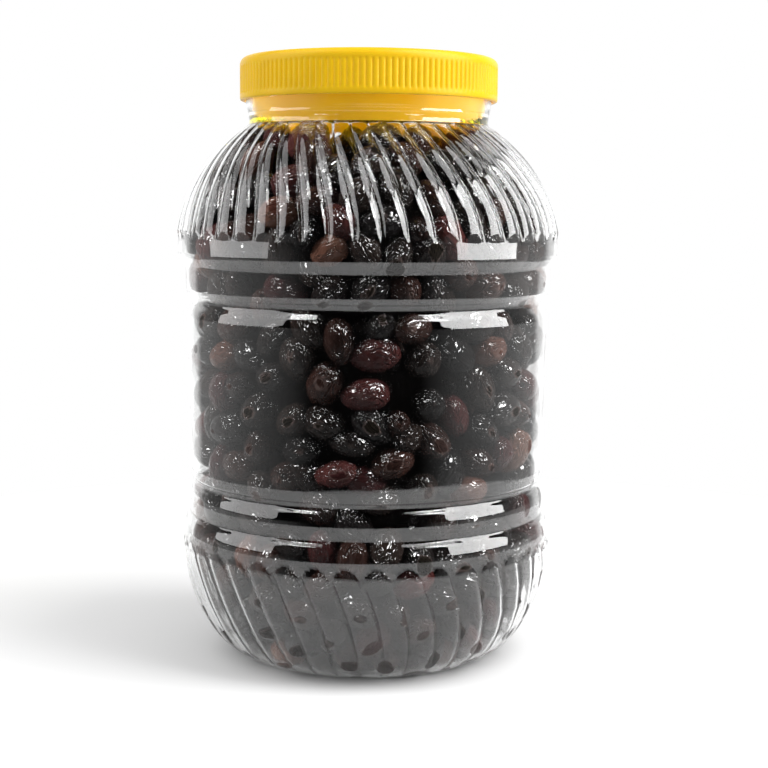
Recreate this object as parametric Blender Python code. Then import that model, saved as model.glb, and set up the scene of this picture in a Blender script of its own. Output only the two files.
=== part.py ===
# Clear wide-mouth jar of black olives under a yellow screw cap. Metres, +Z up, origin at the centre of the base.
# Three pieces: the jar's shell, the cap with the plug ring inside it, and the heap of olives.

import bpy
import bmesh
import math
import random

# The foot: a standing ring, a hollow centre and a rounded side up to the widest point of the base.
RING_RADIUS = 0.0527
RING_INSIDE = 0.0470
HOLLOW_RADIUS = 0.0360
HOLLOW_HEIGHT = 0.0024
HOLLOW_CENTRE = 0.0034
BASE_RADIUS = 0.0869
BASE_HEIGHT = 0.0520
FOOT_POWER = 1.85  # 2 would be a true ellipse

# (height, radius) wherever the outline turns, from the base bulge up to the shoulder, with straight runs between.
TURNS = [
    (0.0520, 0.0869),  # base bulge
    (0.0603, 0.08665),
    (0.0677, 0.0841),  # ledge over the bulge
    (0.0751, 0.0841),
    (0.0816, 0.0820),  # lower groove
    (0.0834, 0.0819),
    (0.0845, 0.08275),  # lip over it
    (0.0905, 0.0837),  # foot of the plain body
    (0.1560, 0.08475),  # head of the plain body
    (0.1603, 0.0846),
    (0.1660, 0.0822),  # upper groove
    (0.1674, 0.0821),
    (0.1728, 0.0853),  # band over the groove
    (0.1822, 0.0856),
    (0.1884, 0.0886),
    (0.1902, 0.0890),  # shoulder
    (0.1930, 0.0890),
]

# The dome is a quarter ellipse whose centre lies on the axis at the shoulder's height.
SHOULDER_RADIUS = 0.0890
SHOULDER_HEIGHT = 0.1930
DOME_RISE = 0.0715

NECK_RADIUS = 0.0556
NECK_HEIGHT = 0.2490
COLLAR_RADIUS = 0.0574
COLLAR_HEIGHT = 0.2590
RIM_HEIGHT = 0.2768
NECK_WALL = 0.0018
WALL = 0.0012

# Flutes: broad ribs with narrow valleys between them, which turn as they go down.
DOME_FLUTES = {
    "count": 48, "depth": 0.0015, "bottom": 0.1962, "top": 0.2470,
    "phase": math.radians(0.3), "twist": math.radians(12.5), "rows": 6,
}
BASE_FLUTES = {
    "count": 40, "depth": 0.0013, "bottom": 0.0030, "top": 0.0562,
    "phase": math.radians(11.0), "twist": math.radians(9.0), "rows": 5,
}

CAP_RADIUS = 0.0600
CAP_BOTTOM = 0.2594
CAP_TOP = 0.2792
CAP_PLATE = 0.0019
CAP_BORE = 0.0579
CAP_ROUNDING = 0.0036
PLUG_RADIUS = 0.0532  # the ring inside the neck, which shows amber through it
PLUG_WALL = 0.0015
PLUG_BOTTOM = 0.2484
RIB_COUNT = 132
RIB_DEPTH = 0.0005
RIB_BOTTOM = 0.2622
RIB_TOP = 0.2749

OLIVE_LENGTH = 0.0205
OLIVE_WIDTH = 0.0152
OLIVES_ROUND = 25
OLIVE_ROWS = 16
HEAP_BOTTOM = 0.0050
HEAP_TOP = 0.2470
HEAP_GAP = 0.0010  # clear of the wall, flat faces and all
FACE_REACH = 0.0060  # how far a flat face runs up or down from its corner
VALLEY_DEPTHS = (0.0036, 0.0048)  # least and most depth between olives
FACE_SHARE = 0.62  # a flat top's size beside the whole olive's
FACE_DEPTH = 0.0004  # a flat top lies this much under its olive's true crown
SUNK_DEPTH = 0.0014  # and the deepest olive this much more
SEED = 11

BODY_SIDES = 38
INSIDE_SIDES = 34


def straight_runs(points, x):
    """Value at x on the line from point to point."""
    i = max(k for k in range(len(points) - 1) if points[k][0] <= x or k == 0)
    t = (x - points[i][0]) / (points[i + 1][0] - points[i][0])
    return points[i][1] + (points[i + 1][1] - points[i][1]) * t


def outline(height):
    """Outer radius of the jar over its ribs."""
    if height < BASE_HEIGHT:
        down = (BASE_HEIGHT - max(height, 0.0)) / BASE_HEIGHT
        return RING_RADIUS + (BASE_RADIUS - RING_RADIUS) * (1 - down ** FOOT_POWER) ** (1 / FOOT_POWER)
    if height < SHOULDER_HEIGHT:
        return straight_runs(TURNS, height)
    if height < NECK_HEIGHT:
        up = (height - SHOULDER_HEIGHT) / DOME_RISE
        return max(SHOULDER_RADIUS * math.sqrt(1 - up * up), NECK_RADIUS)
    if height < COLLAR_HEIGHT:
        up = (height - NECK_HEIGHT) / (COLLAR_HEIGHT - NECK_HEIGHT)
        return NECK_RADIUS + (COLLAR_RADIUS - NECK_RADIUS) * up ** 3
    return COLLAR_RADIUS


def flute_depth(flutes, height):
    """Depth of the valleys at a height: nothing at both ends, full along the middle."""
    along = (height - flutes["bottom"]) / (flutes["top"] - flutes["bottom"])
    return flutes["depth"] * math.sin(math.pi * along) ** 0.5 if 0 < along < 1 else 0.0


def flute_turn(flutes, height):
    """Angle of the first rib at a height. It turns most at the top and eases out."""
    down = (flutes["top"] - height) / (flutes["top"] - flutes["bottom"])
    return flutes["phase"] + flutes["twist"] * (math.sin(min(max(down, 0), 1) * math.pi / 2) - 1)


def wall_inside(height, wall):
    """(radius, height) of the inner surface across from an outer height, square to the outline."""
    step = 0.0005
    lean = (outline(height + step) - outline(height - step)) / (2 * step)
    reach = math.hypot(1, lean)
    depth = wall + flute_depth(DOME_FLUTES, height) + flute_depth(BASE_FLUTES, height)
    return outline(height) - depth / reach, height + depth * lean / reach


def inner_surface():
    """Points (radius, height) of the inner surface, about a millimetre apart."""
    return [wall_inside(0.001 * millimetre, WALL) for millimetre in range(2, 250)]


def ring(bm, radius, height, sides, turn=0.0, valley=0.0):
    """A closed ring of points. With a valley, every second point lies that much further in."""
    points = []
    for k in range(sides):
        angle = turn + 2 * math.pi * k / sides
        r = radius - (valley if k % 2 else 0.0)
        points.append(bm.verts.new((r * math.sin(angle), -r * math.cos(angle), height)))
    return points


def angle_of(point):
    return math.atan2(point.co.x, -point.co.y) % (2 * math.pi)


def join_rings(bm, lower, upper):
    """Triangles between two rings, which may have different numbers of points."""
    if len(lower) == len(upper):
        for k, point in enumerate(lower):
            after = (k + 1) % len(lower)
            bm.faces.new((point, lower[after], upper[after]))
            bm.faces.new((point, upper[after], upper[k]))
        return
    lower = sorted(lower, key=angle_of)
    upper = sorted(upper, key=angle_of)
    i = j = 0
    while i < len(lower) or j < len(upper):
        a, b = lower[i % len(lower)], upper[j % len(upper)]
        next_a, next_b = lower[(i + 1) % len(lower)], upper[(j + 1) % len(upper)]
        turn_a = angle_of(next_a) + (2 * math.pi if i + 1 >= len(lower) else 0)
        turn_b = angle_of(next_b) + (2 * math.pi if j + 1 >= len(upper) else 0)
        if j >= len(upper) or (i < len(lower) and turn_a < turn_b):
            bm.faces.new((a, next_a, b))
            i += 1
        else:
            bm.faces.new((a, next_b, b))
            j += 1


def join_all(bm, rings):
    for lower, upper in zip(rings, rings[1:]):
        join_rings(bm, lower, upper)


def fan(bm, points, height):
    """Closes a ring with triangles to one point on the axis."""
    centre = bm.verts.new((0, 0, height))
    for k, point in enumerate(points):
        bm.faces.new((point, points[(k + 1) % len(points)], centre))


def finish(bm, name, colour, roughness, alpha=1.0):
    """Turns the mesh into a smooth-shaded object with its own material."""
    bmesh.ops.recalc_face_normals(bm, faces=bm.faces)
    mesh = bpy.data.meshes.new(name)
    bm.to_mesh(mesh)
    bm.free()
    mesh.shade_smooth()
    mesh.set_sharp_from_angle(angle=math.radians(40))
    material = bpy.data.materials.new(name)
    material.use_nodes = True
    shader = material.node_tree.nodes["Principled BSDF"]
    shader.inputs["Base Color"].default_value = (*colour, 1)
    shader.inputs["Roughness"].default_value = roughness
    shader.inputs["Metallic"].default_value = 0.0
    shader.inputs["Alpha"].default_value = alpha
    mesh.materials.append(material)
    piece = bpy.data.objects.new(name, mesh)
    bpy.context.scene.collection.objects.link(piece)
    return piece


def fluted_rings(bm, flutes):
    """Rings over one fluted zone, bottom to top, with two points for each rib."""
    rings = []
    for row in range(flutes["rows"] + 1):
        # rows crowd towards both ends, where the valleys run out
        along = (1 - math.cos(math.pi * row / flutes["rows"])) / 2
        height = flutes["bottom"] + (flutes["top"] - flutes["bottom"]) * along
        rings.append(ring(
            bm, outline(height), height, 2 * flutes["count"],
            flute_turn(flutes, height), flute_depth(flutes, height),
        ))
    return rings


def make_jar():
    bm = bmesh.new()
    underside = [
        ring(bm, HOLLOW_RADIUS, HOLLOW_HEIGHT, BODY_SIDES),
        ring(bm, RING_INSIDE, 0, BODY_SIDES),
        ring(bm, RING_RADIUS, 0, BODY_SIDES),
    ]
    body = [ring(bm, radius, height, BODY_SIDES) for height, radius in TURNS[1:-1]]
    neck_heights = [NECK_HEIGHT, 0.2545, 0.2573, COLLAR_HEIGHT, RIM_HEIGHT]
    neck = [ring(bm, outline(height), height, BODY_SIDES) for height in neck_heights]
    inside = [ring(bm, outline(height) - NECK_WALL, height, INSIDE_SIDES) for height in (RIM_HEIGHT, NECK_HEIGHT)]
    for height in (0.2400, 0.2300, 0.2180, 0.2060, 0.1950, 0.1890, 0.1825, 0.1735, 0.1667, 0.1600,
                   0.0900, 0.0825, 0.0751, 0.0677, 0.0590, 0.0300, 0.0130, 0.0035):
        radius, level = wall_inside(height, WALL)
        inside.append(ring(bm, radius, level, INSIDE_SIDES))
    plate = 1.25 * WALL
    inside.append(ring(bm, RING_INSIDE, plate, INSIDE_SIDES))
    inside.append(ring(bm, HOLLOW_RADIUS, HOLLOW_HEIGHT + plate, INSIDE_SIDES))
    rings = underside + fluted_rings(bm, BASE_FLUTES) + body + fluted_rings(bm, DOME_FLUTES) + neck + inside
    join_all(bm, rings)
    fan(bm, underside[0], HOLLOW_CENTRE)
    fan(bm, inside[-1], HOLLOW_CENTRE + plate)
    finish(bm, "jar", (0.80, 0.82, 0.82), 0.05, alpha=0.3)


def make_cap():
    bm = bmesh.new()
    sides = RIB_COUNT // 3
    rounded = []
    for turn in (0, 45, 90):
        out = CAP_ROUNDING * math.cos(math.radians(turn))
        up = CAP_ROUNDING * math.sin(math.radians(turn))
        rounded.append(ring(bm, CAP_RADIUS - CAP_ROUNDING + out, CAP_TOP - CAP_ROUNDING + up, sides))
    rings = [
        ring(bm, PLUG_RADIUS - PLUG_WALL, CAP_TOP - CAP_PLATE, sides),
        ring(bm, PLUG_RADIUS - PLUG_WALL, PLUG_BOTTOM, sides),
        ring(bm, PLUG_RADIUS, PLUG_BOTTOM, sides),
        ring(bm, PLUG_RADIUS, CAP_TOP - CAP_PLATE, sides),
        ring(bm, CAP_BORE, CAP_TOP - CAP_PLATE, sides),
        ring(bm, CAP_BORE, CAP_BOTTOM, sides),
        ring(bm, CAP_RADIUS - 0.0009, CAP_BOTTOM, sides),
        ring(bm, CAP_RADIUS - 0.0001, CAP_BOTTOM + 0.0010, sides),
        ring(bm, CAP_RADIUS, RIB_BOTTOM, 2 * RIB_COUNT, valley=RIB_DEPTH),
        ring(bm, CAP_RADIUS, RIB_TOP, 2 * RIB_COUNT, valley=RIB_DEPTH),
        *rounded,
    ]
    join_all(bm, rings)
    fan(bm, rings[0], CAP_TOP - CAP_PLATE)
    fan(bm, rounded[-1], CAP_TOP)
    finish(bm, "cap", (0.86, 0.58, 0.01), 0.35)


def heap_path():
    """Points (radius, height) up the heap's outer side: clear of the narrowest wall near each."""
    surface = inner_surface()
    steps = 120
    path = []
    for step in range(steps + 1):
        height = HEAP_BOTTOM + (HEAP_TOP - HEAP_BOTTOM) * step / steps
        near = [radius for radius, level in surface if abs(level - height) < FACE_REACH]
        path.append((min(near) - HEAP_GAP, height))
    return path


class HeapSkin:
    """Places points on the heap's side by angle, length along its outline and depth under it."""

    def __init__(self):
        self.path = heap_path()
        self.lengths = [0.0]
        for a, b in zip(self.path, self.path[1:]):
            self.lengths.append(self.lengths[-1] + math.dist(a, b))

    def point(self, angle, along, depth):
        along = min(max(along, 0.0), self.lengths[-1])
        i = max(k for k in range(len(self.path) - 1) if self.lengths[k] <= along or k == 0)
        a, b = self.path[i], self.path[i + 1]
        span = self.lengths[i + 1] - self.lengths[i]
        t = (along - self.lengths[i]) / span
        out, up = (b[1] - a[1]) / span, (a[0] - b[0]) / span
        r = a[0] + (b[0] - a[0]) * t - depth * out
        z = a[1] + (b[1] - a[1]) * t - depth * up
        return r * math.sin(angle), -r * math.cos(angle), z


def make_olives():
    """The heap: staggered rows of olives, each a few-sided rounded top that meets its neighbours in a valley."""
    rng = random.Random(SEED)
    skin = HeapSkin()
    pitch = 2 * math.pi / OLIVES_ROUND
    row_step = skin.lengths[-1] / OLIVE_ROWS
    halves = 2 * OLIVES_ROUND

    # centres by row and half-pitch number, with one unseen row beyond each end
    centres = {}
    for row in range(-1, OLIVE_ROWS + 1):
        for half in range(row % 2, halves, 2):
            angle = half * pitch / 2 + rng.uniform(-0.13, 0.13) * pitch
            along = (row + 0.5) * row_step + rng.uniform(-0.15, 0.15) * row_step
            centres[row, half] = (angle, along)

    def centre(row, half):
        angle, along = centres[row, half % halves]
        return angle + 2 * math.pi * (half // halves), along

    bm = bmesh.new()
    corners = {}
    for level in range(OLIVE_ROWS + 1):
        for half in range(halves):
            single = level if level % 2 == half % 2 else level - 1
            double = 2 * level - 1 - single
            around = [centre(single, half), centre(double, half - 1), centre(double, half + 1)]
            angle = sum(a for a, _ in around) / 3
            along = sum(s for _, s in around) / 3
            vert = bm.verts.new(skin.point(angle, along, rng.uniform(*VALLEY_DEPTHS)))
            corners[level, half] = (angle, along, vert)

    def corner(level, half):
        angle, along, vert = corners[level, half % halves]
        return angle + 2 * math.pi * (half // halves), along, vert

    for row in range(OLIVE_ROWS):
        for half in range(row % 2, halves, 2):
            angle, along = centres[row, half]
            lean = rng.uniform(0, math.pi)
            sunk = rng.uniform(0.0, SUNK_DEPTH)
            edge = [corner(row, half + k) for k in (-1, 0, 1)] + [corner(row + 1, half + k) for k in (1, 0, -1)]
            top = []
            for corner_angle, corner_along, _ in edge:
                across = (corner_angle - angle) * BASE_RADIUS
                up = corner_along - along
                bearing = math.atan2(up, across) - lean
                reach = FACE_SHARE / 2 / math.hypot(math.cos(bearing) / OLIVE_LENGTH, math.sin(bearing) / OLIVE_WIDTH)
                share = min(reach / math.hypot(across, up), 0.7)
                spot = (angle + share * (corner_angle - angle), along + share * up, sunk + FACE_DEPTH)
                top.append(bm.verts.new(skin.point(*spot)))
            for k in range(6):
                after = (k + 1) % 6
                bm.faces.new((edge[k][2], edge[after][2], top[after]))
                bm.faces.new((edge[k][2], top[after], top[k]))
            for k in (1, 2, 3, 4):
                bm.faces.new((top[0], top[k], top[k + 1]))

    lower = [corners[0, half][2] for half in range(halves)]
    upper = [corners[OLIVE_ROWS, half][2] for half in range(halves)]
    fan(bm, lower, HOLLOW_CENTRE + 0.0035)
    previous = upper
    for radius, sides in ((0.037, 13), (0.017, 7)):
        lumps = ring(bm, radius, HEAP_TOP, sides)
        for point in lumps:
            point.co.z += rng.uniform(-0.004, 0.003)
        join_rings(bm, previous, lumps)
        previous = lumps
    fan(bm, previous, HEAP_TOP)
    finish(bm, "olives", (0.035, 0.014, 0.012), 0.25)


def main():
    for piece in list(bpy.data.objects):
        bpy.data.objects.remove(piece)
    make_jar()
    make_cap()
    make_olives()


main()
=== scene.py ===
# Clear wide-mouth jar of wrinkled black olives under a yellow screw cap, on a white table between softboxes.
import math
import bpy
import numpy as np
from mathutils import Matrix, Vector


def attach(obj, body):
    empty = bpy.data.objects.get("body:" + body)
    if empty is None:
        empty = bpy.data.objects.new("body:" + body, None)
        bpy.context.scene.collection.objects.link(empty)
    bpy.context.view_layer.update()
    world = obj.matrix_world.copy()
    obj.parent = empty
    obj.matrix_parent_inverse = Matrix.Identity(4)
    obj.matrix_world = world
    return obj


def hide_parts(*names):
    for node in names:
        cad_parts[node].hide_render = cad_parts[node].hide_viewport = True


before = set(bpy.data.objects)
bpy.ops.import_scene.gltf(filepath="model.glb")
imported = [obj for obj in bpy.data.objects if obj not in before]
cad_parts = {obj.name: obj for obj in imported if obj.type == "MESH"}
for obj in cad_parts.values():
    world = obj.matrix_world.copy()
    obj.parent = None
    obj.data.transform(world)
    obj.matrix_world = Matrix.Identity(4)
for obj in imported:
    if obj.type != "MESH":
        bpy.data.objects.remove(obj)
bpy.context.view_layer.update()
bodyName = "root"
scene = bpy.context.scene


# Shared helpers: meshes from whole arrays, then node shorthand.

# Puts an (n, 3) array of points and any number of (m, 3) or (m, 4) face arrays into one smooth-shaded mesh.
def meshFrom(name, points, faceSets):
    mesh = bpy.data.meshes.new(name)
    mesh.vertices.add(len(points))
    mesh.vertices.foreach_set("co", np.asarray(points, np.float32).ravel())
    corners = np.concatenate([faces.ravel() for faces in faceSets]).astype(np.int32)
    sizes = np.concatenate([np.full(len(faces), faces.shape[1]) for faces in faceSets])
    mesh.loops.add(len(corners))
    mesh.loops.foreach_set("vertex_index", corners)
    mesh.polygons.add(len(sizes))
    mesh.polygons.foreach_set("loop_start", (np.cumsum(sizes) - sizes).astype(np.int32))
    mesh.update(calc_edges=True)
    mesh.validate()
    mesh.shade_smooth()
    return mesh


# Quads between neighbouring rows of a grid whose columns run all the way round.
def ringFaces(rows, columns, first=0):
    start = first + np.arange(rows - 1)[:, None] * columns + np.arange(columns)[None, :]
    after = first + np.arange(rows - 1)[:, None] * columns + (np.arange(columns)[None, :] + 1) % columns
    return np.stack([start, after, after + columns, start + columns], axis=2).reshape(-1, 4)


# Triangles that close a ring to one pole point; upward says which way the closed side looks.
def fanFaces(ringStart, columns, pole, upward):
    here = ringStart + np.arange(columns)
    after = ringStart + (np.arange(columns) + 1) % columns
    order = [here, after, np.full(columns, pole)] if upward else [after, here, np.full(columns, pole)]
    return np.stack(order, axis=1)


# Angle 0 is the front of the jar and grows to the viewer's right: x = r sin a, y = -r cos a.
def roundTheAxis(radius, angle, height):
    return np.stack([radius * np.sin(angle), -radius * np.cos(angle), height + 0 * angle], axis=-1)


# Makes an object of a mesh, rides it on the body and hides the model's part of the node it stands for.
def addPiece(name, mesh, material, node):
    mesh.materials.append(material)
    piece = bpy.data.objects.new(name, mesh)
    scene.collection.objects.link(piece)
    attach(piece, bodyName)
    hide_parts(node)
    return piece


# A new material, its node tree and its shader.
def newMaterial(name):
    material = bpy.data.materials.new(name)
    material.use_nodes = True
    tree = material.node_tree
    return material, tree, tree.nodes["Principled BSDF"]


# Sets inputs of a node: a socket is linked to its input, anything else becomes the input's value.
def feed(tree, node, values):
    for key, value in values.items():
        if isinstance(value, bpy.types.NodeSocket):
            tree.links.new(value, node.inputs[key])
        else:
            node.inputs[key].default_value = value


# Adds a node. A value named like an input feeds it, any other is a setting of the node.
def addNode(tree, kind, **values):
    node = tree.nodes.new(kind)
    for key, value in values.items():
        if key in node.inputs:
            feed(tree, node, {key: value})
        else:
            setattr(node, key, value)
    return node


# Result of one operation on two numbers or sockets.
def mathNode(tree, operation, first, second=0.0, clamp=False):
    node = addNode(tree, "ShaderNodeMath", operation=operation, use_clamp=clamp)
    feed(tree, node, {0: first, 1: second})
    return node.outputs[0]


# Smooth step of a value between low and high, from outLow to outHigh.
def mapRange(tree, value, low, high, outLow=0.0, outHigh=1.0):
    node = addNode(tree, "ShaderNodeMapRange", interpolation_type="SMOOTHSTEP")
    feed(tree, node, {"Value": value, "From Min": low, "From Max": high, "To Min": outLow, "To Max": outHigh})
    return node.outputs["Result"]


# Mix of two colours by a share between 0 and 1.
def mixColour(tree, share, first, second, blend="MIX"):
    node = addNode(tree, "ShaderNodeMix", data_type="RGBA", blend_type=blend)
    feed(tree, node, {0: share, 6: first, 7: second})
    return node.outputs[2]


# The first shader where the ray's test is 0, the second where it is 1.
def mixShader(tree, test, first, second):
    node = addNode(tree, "ShaderNodeMixShader")
    feed(tree, node, {0: test, 1: first, 2: second})
    return node.outputs[0]


# A rough material of one colour without gloss.
def makeMatte(name, grey):
    material, tree, shader = newMaterial(name)
    feed(tree, shader, {"Base Color": grey, "Roughness": 0.9, "Specular IOR Level": 0.0})
    return material


# The jar, in metres. Its outline follows the solids: a foot, the turned body, a dome, a neck and a collar.
jarShape = {
    "ringRadius": 0.0527, "ringInside": 0.0470, "hollowRadius": 0.0360,
    "hollowHeight": 0.0024, "hollowCentre": 0.0034,
    "baseRadius": 0.0870, "baseHeight": 0.0598, "footPower": 2.1,
    "shoulderRadius": 0.0890, "shoulderHeight": 0.1930, "domeRise": 0.0715,
    "neckRadius": 0.0556, "neckHeight": 0.2490,
    "collarRadius": 0.0574, "collarHeight": 0.2590, "collarPower": 1.2, "rimHeight": 0.2768, "rimEdge": 0.0006,
    "beadHeight": 0.2529, "beadRise": 0.00022, "beadWidth": 0.0006,
    "wall": 0.0012, "neckWall": 0.0013, "plate": 1.25 * 0.0012, "edgeRounding": 0.0006,
    "columns": 480,
}
# Underside between the hollow's centre and the standing ring, as (radius, height).
underLine = np.array([
    (0.0180, 0.00315), (jarShape["hollowRadius"], jarShape["hollowHeight"]), (0.0425, 0.0011),
    (jarShape["ringInside"], 0.0), (0.0505, 0.0),
])
# Straight runs of the body between its rounded edges, as (height, radius).
bodyLine = np.array([
    (0.0598, 0.0870), (0.0620, 0.0867), (0.0660, 0.0857), (0.0679, 0.0839), (0.0746, 0.0843),
    (0.0766, 0.0841), (0.0800, 0.0832), (0.0816, 0.0819), (0.0834, 0.08194), (0.0845, 0.08275),
    (0.0888, 0.08365), (0.1602, 0.08477), (0.1636, 0.0837), (0.1662, 0.0821), (0.1676, 0.0821),
    (0.1688, 0.0828), (0.1716, 0.0851), (0.1724, 0.0854), (0.1822, 0.0856), (0.1832, 0.0858),
    (0.1876, 0.0888), (0.1886, 0.0890), (0.1980, 0.0890),
])
# Ribs between narrow valleys. A rib rises out of the wall over a rounded hood at "flat" with height "arch":
# the dome's ribs stand on theirs, the base's ribs hang from theirs.
domeFlutes = {
    "count": 48, "roundness": 2.3, "depth": 0.0021, "bottom": 0.1962, "top": 0.2483,
    "phase": math.radians(0.3), "twist": math.radians(12.5),
    "lift": 0.00085, "flat": 0.1961, "arch": 0.0042, "fade": 0.026, "hoodOnTop": False,
}
baseFlutes = {
    "count": 40, "roundness": 4.0, "depth": 0.0010, "bottom": 0.0030, "top": 0.0562,
    "phase": math.radians(11.0), "twist": math.radians(9.0),
    "lift": 0.00080, "flat": 0.0521, "arch": 0.0047, "fade": 0.034, "hoodOnTop": True,
}
# What both kinds of rib share: half widths as shares of the spacing, and powers that square off their forms.
ribForm = {"valleyPower": 0.6, "archHalf": 0.45, "liftHalf": 0.44, "liftPower": 3.6, "draw": 0.55}


# Radius of the body: its straight runs averaged over a short window, which rounds every edge alike.
def bodyRadius(height):
    window = jarShape["edgeRounding"] * np.linspace(-1, 1, 9)
    return sum(np.interp(height + step, bodyLine[:, 0], bodyLine[:, 1]) for step in window) / len(window)


# Heights of the mesh rows between two ends: both ends of every rounded edge of the body, without doubles.
def edgeRows(low, high):
    edges = bodyLine[(bodyLine[:, 0] > low) & (bodyLine[:, 0] < high), 0]
    rows = np.sort((edges[:, None] + jarShape["edgeRounding"] * np.array([-1, 1])).ravel())
    return rows[np.concatenate([[True], np.diff(rows) > 0.0001])]


# Outer radius by height: a rounded foot, the turned body, a quarter-ellipse dome, a flared collar with a bead.
def outline(height):
    s = jarShape
    height = np.asarray(height, float)
    down = np.clip((s["baseHeight"] - height) / s["baseHeight"], 0, 1)
    power = s["footPower"]
    foot = s["ringRadius"] + (s["baseRadius"] - s["ringRadius"]) * (1 - down ** power) ** (1 / power)
    body = bodyRadius(height)
    up = np.clip((height - s["shoulderHeight"]) / s["domeRise"], 0, 1)
    dome = np.maximum(s["shoulderRadius"] * np.sqrt(1 - up * up), s["neckRadius"])
    rise = np.clip((height - s["neckHeight"]) / (s["collarHeight"] - s["neckHeight"]), 0, 1)
    collar = s["neckRadius"] + (s["collarRadius"] - s["neckRadius"]) * rise ** s["collarPower"]
    collar = collar + s["beadRise"] * np.exp(-((height - s["beadHeight"]) / s["beadWidth"]) ** 2)
    low = np.where(height < s["baseHeight"], foot, body)
    high = np.where(height < s["neckHeight"], dome, collar)
    return np.where(height < s["shoulderHeight"], low, high)


# Turn of a zone's ribs at a height: most of the twist is near the top, and it eases out downwards.
def zoneTurn(zone, height):
    down = np.clip((zone["top"] - height) / (zone["top"] - zone["bottom"]), 0, 1)
    return zone["phase"] + zone["twist"] * (np.sin(down * math.pi / 2) - 1)


# Place across a rib at an angle: 0 on its crest, half a unit in the valleys beside it.
def acrossRib(zone, angle, turn):
    across = (angle - turn) * zone["count"] / (2 * math.pi)
    return across - np.round(across)


# Inward depth of a fluted zone at an angle and height: valley depth between crests, less each rib's lift.
def zoneDepth(zone, angle, height):
    across = acrossRib(zone, angle, zoneTurn(zone, height))
    level = acrossRib(zone, angle, zoneTurn(zone, zone["flat"]))
    along = np.clip((height - zone["bottom"]) / (zone["top"] - zone["bottom"]), 0, 1)
    valley = zone["depth"] * np.sin(math.pi * along) ** ribForm["valleyPower"]
    crest = 1 - np.abs(2 * across) ** zone["roundness"]
    arch = zone["arch"] * np.clip(1 - (level / ribForm["archHalf"]) ** 2, 0, 1) + 1e-6
    if zone["hoodOnTop"]:
        inHood = height > zone["flat"]
        rising = np.clip((zone["flat"] + arch - height) / arch, 0, 1)
        fade = np.clip(1 - (zone["flat"] - height) / zone["fade"], 0, 1)
    else:
        inHood = height < zone["flat"] + arch
        rising = np.clip((height - zone["flat"]) / arch, 0, 1)
        fade = np.clip(1 - (height - zone["flat"] - zone["arch"]) / zone["fade"], 0, 1)
    place = np.abs(np.where(inHood, level, across) / ribForm["liftHalf"])
    lift = zone["lift"] * np.clip(1 - place ** ribForm["liftPower"], 0, 1) * rising * fade
    return valley * (1 - crest) - lift


# Turn of the mesh columns, so that they run along the ribs of both zones and swing over between them.
def columnTurn(height):
    low, high = zoneTurn(baseFlutes, height), zoneTurn(domeFlutes, height)
    share = np.clip((height - baseFlutes["top"]) / (domeFlutes["bottom"] - baseFlutes["top"]), 0, 1)
    return low + (high - low) * share * share * (3 - 2 * share)


# Column angles by height: even steps round the axis, drawn together near each valley of the zone.
def columnAngles(height):
    step = np.arange(jarShape["columns"]) / jarShape["columns"]
    angle = 2 * math.pi * step[None, :] + columnTurn(height)[:, None]
    for zone in (domeFlutes, baseFlutes):
        along = np.clip((height - zone["bottom"]) / (zone["top"] - zone["bottom"]), 0, 1)
        draw = ribForm["draw"] * np.sin(math.pi * along) ** 0.5 / zone["count"]
        angle = angle + draw[:, None] * np.sin(2 * math.pi * step * zone["count"])[None, :]
    return angle


# Inward depth of the flutes of both zones, each of which is zero outside its own heights.
def fluteDepth(angle, height):
    return zoneDepth(domeFlutes, angle, height) + zoneDepth(baseFlutes, angle, height)


# Inner path of the wall: the outline moved in by the wall's thickness, square to itself, and its normals.
def innerPath(height):
    step = 0.0004
    lean = (outline(height + step) - outline(height - step)) / (2 * step)
    reach = np.hypot(1, lean)
    wall = jarShape["wall"]
    return outline(height) - wall / reach, height + wall * lean / reach, 1 / reach, -lean / reach


# Even steps from start to just short of end.
def spread(start, end, count):
    return np.linspace(start, end, count, endpoint=False)


# Points of the outer wall: the outline less the flutes' depth at each angle.
def outerWall(angle, height):
    return roundTheAxis(outline(height) - fluteDepth(angle, height), angle, height)


# Points of the inner wall: the inner path, moved in by the flutes' depth square to itself.
def innerWall(angle, height):
    r, z, outR, outZ = innerPath(height)
    depth = fluteDepth(angle, height)
    return roundTheAxis(r - depth * outR, angle, z - depth * outZ)


# Unit normals of a wall, away from the axis: the cross product of its steps round and up.
def wallNormals(wall, angle, height):
    turn, rise = 0.0004, 0.00008
    around = wall(angle + turn, height) - wall(angle - turn, height)
    upward = wall(angle, height + rise) - wall(angle, height - rise)
    normal = np.cross(around, upward).reshape(-1, 3)
    return normal / np.linalg.norm(normal, axis=1, keepdims=True)


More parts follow.
